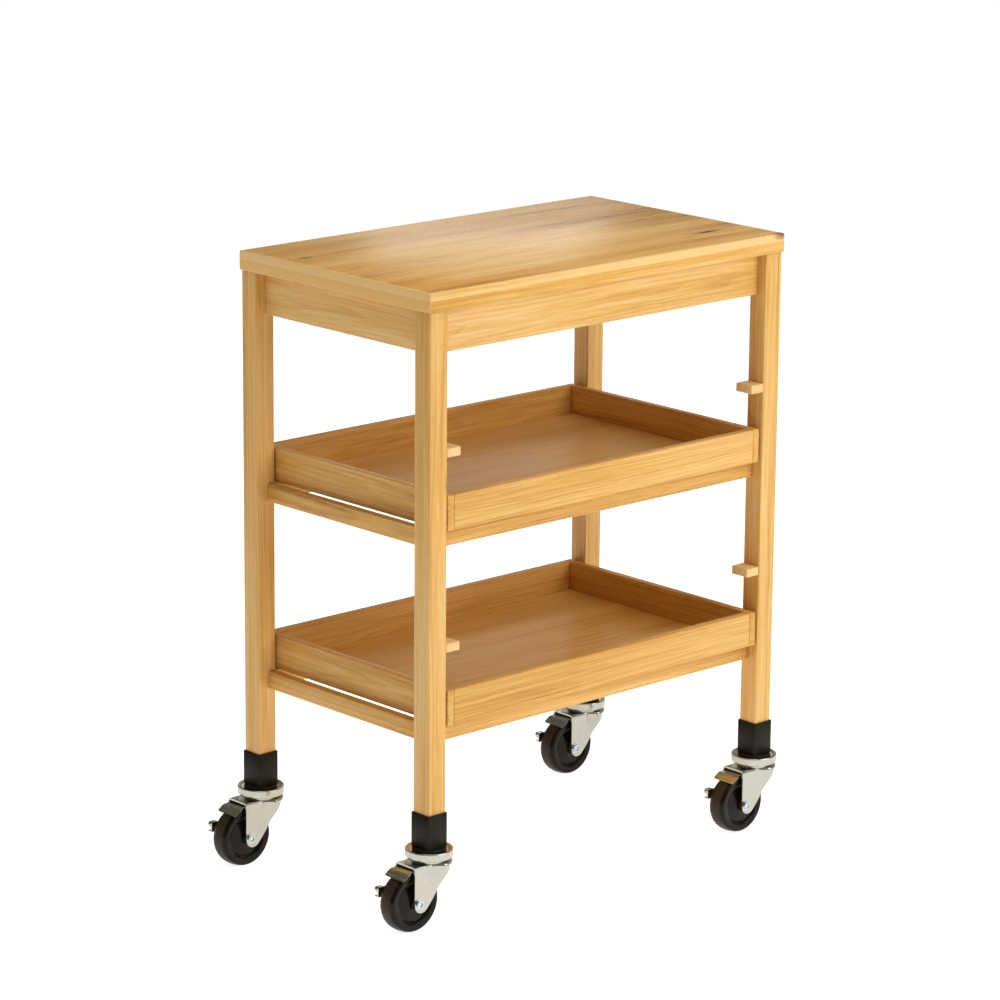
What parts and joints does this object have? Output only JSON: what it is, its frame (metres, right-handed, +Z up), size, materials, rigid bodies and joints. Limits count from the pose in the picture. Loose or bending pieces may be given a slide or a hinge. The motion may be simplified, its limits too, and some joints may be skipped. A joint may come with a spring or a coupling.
{
  "type": "rolling pantry cart",
  "caption": "Wooden kitchen cart on braked swivel casters, with a solid top over two open trays that slide out between square legs.",
  "frame": {"origin": "on the floor, under the middle of the whole cart's box", "axes": "+Z up, X along the cart's length, -Y the long front side that the trays slide out of; the casters trail towards -X"},
  "size_m": [0.7746, 0.442, 0.914],
  "materials": {
    "leg_wood": "clear satin oiled hardwood",
    "top_wood": "clear satin oiled hardwood with light sapwood and darker heartwood",
    "tray_wood": "clear satin oiled hardwood, light upper edges",
    "black_steel": "black powder coat",
    "zinc_steel": "zinc plated",
    "hard_rubber": "hard black rubber, semi-gloss sides and a dull tread"
  },
  "bodies": {
    "frame": {"worktop": "top_wood", "leg_front_left": "leg_wood", "leg_front_right": "leg_wood", "leg_back_left": "leg_wood", "leg_back_right": "leg_wood", "apron_front": "leg_wood", "apron_back": "leg_wood", "apron_left": "leg_wood", "apron_right": "leg_wood", "rail_upper_front": "leg_wood", "rail_upper_back": "leg_wood", "rail_upper_left": "leg_wood", "rail_upper_right": "leg_wood", "rail_lower_front": "leg_wood", "rail_lower_back": "leg_wood", "rail_lower_left": "leg_wood", "rail_lower_right": "leg_wood", "tray_stop_upper_left": "leg_wood", "tray_stop_upper_right": "leg_wood", "tray_stop_lower_left": "leg_wood", "tray_stop_lower_right": "leg_wood", "caster_sleeve_front_left": "black_steel", "caster_sleeve_front_right": "black_steel", "caster_sleeve_back_left": "black_steel", "caster_sleeve_back_right": "black_steel", "caster_race_front_left": "zinc_steel", "caster_race_front_right": "zinc_steel", "caster_race_back_left": "zinc_steel", "caster_race_back_right": "zinc_steel"},
    "upper_tray": {"upper_tray_floor": "tray_wood", "upper_tray_front_wall": "tray_wood", "upper_tray_back_wall": "tray_wood", "upper_tray_left_wall": "tray_wood", "upper_tray_right_wall": "tray_wood"},
    "lower_tray": {"lower_tray_floor": "tray_wood", "lower_tray_front_wall": "tray_wood", "lower_tray_back_wall": "tray_wood", "lower_tray_left_wall": "tray_wood", "lower_tray_right_wall": "tray_wood"},
    "fork_front_left": {"caster_fork_front_left": "zinc_steel", "axle_bolt_front_left": "zinc_steel"},
    "wheel_body_front_left": {"wheel_front_left": "hard_rubber"},
    "lever_front_left": {"brake_lever_front_left": "zinc_steel"},
    "shoe_front_left": {"brake_shoe_front_left": "zinc_steel"},
    "fork_front_right": {"caster_fork_front_right": "zinc_steel", "axle_bolt_front_right": "zinc_steel"},
    "wheel_body_front_right": {"wheel_front_right": "hard_rubber"},
    "lever_front_right": {"brake_lever_front_right": "zinc_steel"},
    "shoe_front_right": {"brake_shoe_front_right": "zinc_steel"},
    "fork_back_left": {"caster_fork_back_left": "zinc_steel", "axle_bolt_back_left": "zinc_steel"},
    "wheel_body_back_left": {"wheel_back_left": "hard_rubber"},
    "lever_back_left": {"brake_lever_back_left": "zinc_steel"},
    "shoe_back_left": {"brake_shoe_back_left": "zinc_steel"},
    "fork_back_right": {"caster_fork_back_right": "zinc_steel", "axle_bolt_back_right": "zinc_steel"},
    "wheel_body_back_right": {"wheel_back_right": "hard_rubber"},
    "lever_back_right": {"brake_lever_back_right": "zinc_steel"},
    "shoe_back_right": {"brake_shoe_back_right": "zinc_steel"}
  },
  "joints": [
    {"name": "upper_tray_slide", "type": "slide", "parent": "frame", "child": "upper_tray", "axis": [0, -1, 0], "range_m": [0, 0.18]},
    {"name": "lower_tray_slide", "type": "slide", "parent": "frame", "child": "lower_tray", "axis": [0, -1, 0], "range_m": [0, 0.18]},
    {"name": "swivel_front_left", "type": "hinge", "parent": "frame", "child": "fork_front_left", "pos_m": [-0.30525, -0.1865, 0.1], "axis": [0, 0, 1], "continuous": true},
    {"name": "wheel_spin_front_left", "type": "hinge", "parent": "fork_front_left", "child": "wheel_body_front_left", "pos_m": [-0.34275, -0.1865, 0.0445], "axis": [0, 1, 0], "continuous": true},
    {"name": "brake_front_left", "type": "hinge", "parent": "fork_front_left", "child": "lever_front_left", "pos_m": [-0.34225, -0.1642, 0.064], "axis": [0, -1, 0], "range_deg": [0, 15]},
    {"name": "shoe_press_front_left", "type": "hinge", "parent": "fork_front_left", "child": "shoe_front_left", "pos_m": [-0.34325, -0.1865, 0.0925], "axis": [0, -1, 0], "range_deg": [0, 1.21]},
    {"name": "swivel_front_right", "type": "hinge", "parent": "frame", "child": "fork_front_right", "pos_m": [0.35275, -0.1865, 0.1], "axis": [0, 0, 1], "continuous": true},
    {"name": "wheel_spin_front_right", "type": "hinge", "parent": "fork_front_right", "child": "wheel_body_front_right", "pos_m": [0.31525, -0.1865, 0.0445], "axis": [0, 1, 0], "continuous": true},
    {"name": "brake_front_right", "type": "hinge", "parent": "fork_front_right", "child": "lever_front_right", "pos_m": [0.31575, -0.1642, 0.064], "axis": [0, -1, 0], "range_deg": [0, 15]},
    {"name": "shoe_press_front_right", "type": "hinge", "parent": "fork_front_right", "child": "shoe_front_right", "pos_m": [0.31475, -0.1865, 0.0925], "axis": [0, -1, 0], "range_deg": [0, 1.21]},
    {"name": "swivel_back_left", "type": "hinge", "parent": "frame", "child": "fork_back_left", "pos_m": [-0.30525, 0.1865, 0.1], "axis": [0, 0, 1], "continuous": true},
    {"name": "wheel_spin_back_left", "type": "hinge", "parent": "fork_back_left", "child": "wheel_body_back_left", "pos_m": [-0.34275, 0.1865, 0.0445], "axis": [0, 1, 0], "continuous": true},
    {"name": "brake_back_left", "type": "hinge", "parent": "fork_back_left", "child": "lever_back_left", "pos_m": [-0.34225, 0.2088, 0.064], "axis": [0, -1, 0], "range_deg": [0, 15]},
    {"name": "shoe_press_back_left", "type": "hinge", "parent": "fork_back_left", "child": "shoe_back_left", "pos_m": [-0.34325, 0.1865, 0.0925], "axis": [0, -1, 0], "range_deg": [0, 1.21]},
    {"name": "swivel_back_right", "type": "hinge", "parent": "frame", "child": "fork_back_right", "pos_m": [0.35275, 0.1865, 0.1], "axis": [0, 0, 1], "continuous": true},
    {"name": "wheel_spin_back_right", "type": "hinge", "parent": "fork_back_right", "child": "wheel_body_back_right", "pos_m": [0.31525, 0.1865, 0.0445], "axis": [0, 1, 0], "continuous": true},
    {"name": "brake_back_right", "type": "hinge", "parent": "fork_back_right", "child": "lever_back_right", "pos_m": [0.31575, 0.2088, 0.064], "axis": [0, -1, 0], "range_deg": [0, 15]},
    {"name": "shoe_press_back_right", "type": "hinge", "parent": "fork_back_right", "child": "shoe_back_right", "pos_m": [0.31475, 0.1865, 0.0925], "axis": [0, -1, 0], "range_deg": [0, 1.21]}
  ],
  "couplings": [
    {"joint": "shoe_press_front_left", "follows": "brake_front_left", "ratio": 0.08},
    {"joint": "shoe_press_front_right", "follows": "brake_front_right", "ratio": 0.08},
    {"joint": "shoe_press_back_left", "follows": "brake_back_left", "ratio": 0.08},
    {"joint": "shoe_press_back_right", "follows": "brake_back_right", "ratio": 0.08}
  ]
}
